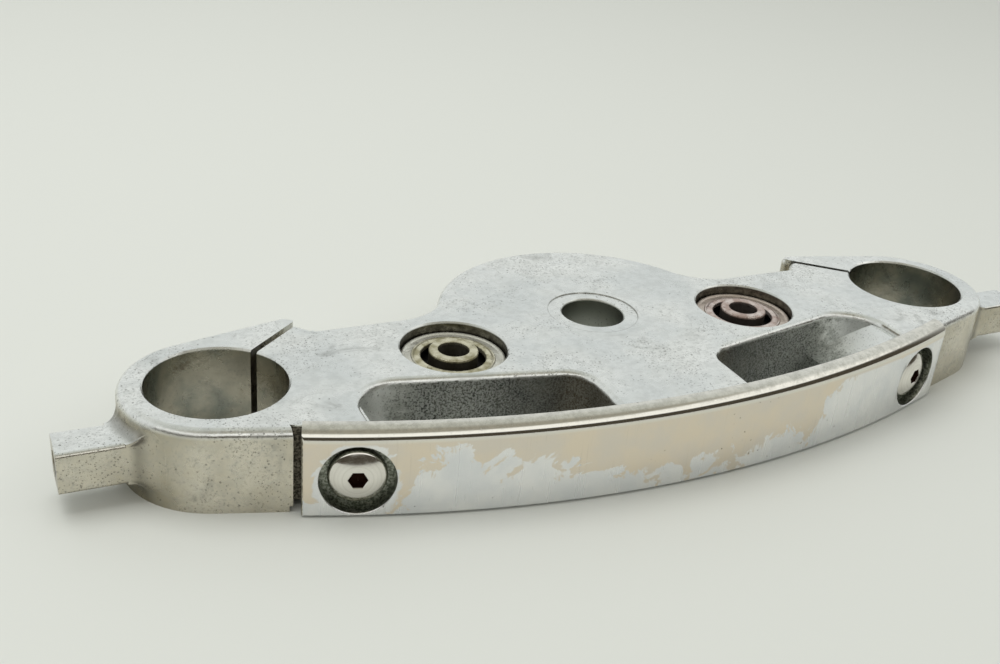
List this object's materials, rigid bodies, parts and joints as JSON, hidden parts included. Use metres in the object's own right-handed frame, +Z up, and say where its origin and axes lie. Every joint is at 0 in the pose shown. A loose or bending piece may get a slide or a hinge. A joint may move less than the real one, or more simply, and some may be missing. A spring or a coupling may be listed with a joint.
{
  "type": "motorcycle triple clamp",
  "caption": "Upper triple clamp for a motorcycle fork: cast plate with split fork clamps, curved polished front cover, rubber riser bushings and square side stubs.",
  "frame": {"origin": "on the steering stem's axis, at the underside of the clamp's bosses", "axes": "+Z up along the stem, -Y towards the front cover, +X towards the right fork tube as seen from the front"},
  "size_m": [0.3684, 0.1253, 0.0295],
  "materials": {
    "cast_aluminium": "polished, worn",
    "chromed_cover": "chrome plated",
    "chromed_screw": "bright",
    "bolt_steel": "plain",
    "zinc_left": "zinc plated, yellowish",
    "zinc_right": "zinc plated, rust stained",
    "bushing_rubber": "matte"
  },
  "bodies": {
    "root": {"upper_clamp": "cast_aluminium", "front_cover": "chromed_cover", "cover_screw_left": "chromed_screw", "cover_screw_right": "chromed_screw", "bushing_cup_left": "zinc_left", "bushing_cup_right": "zinc_right", "bushing_rubber_left": "bushing_rubber", "bushing_rubber_right": "bushing_rubber", "bushing_sleeve_left": "zinc_left", "bushing_sleeve_right": "zinc_right", "pinch_bolt_left": "bolt_steel", "pinch_bolt_right": "bolt_steel"}
  },
  "joints": []
}
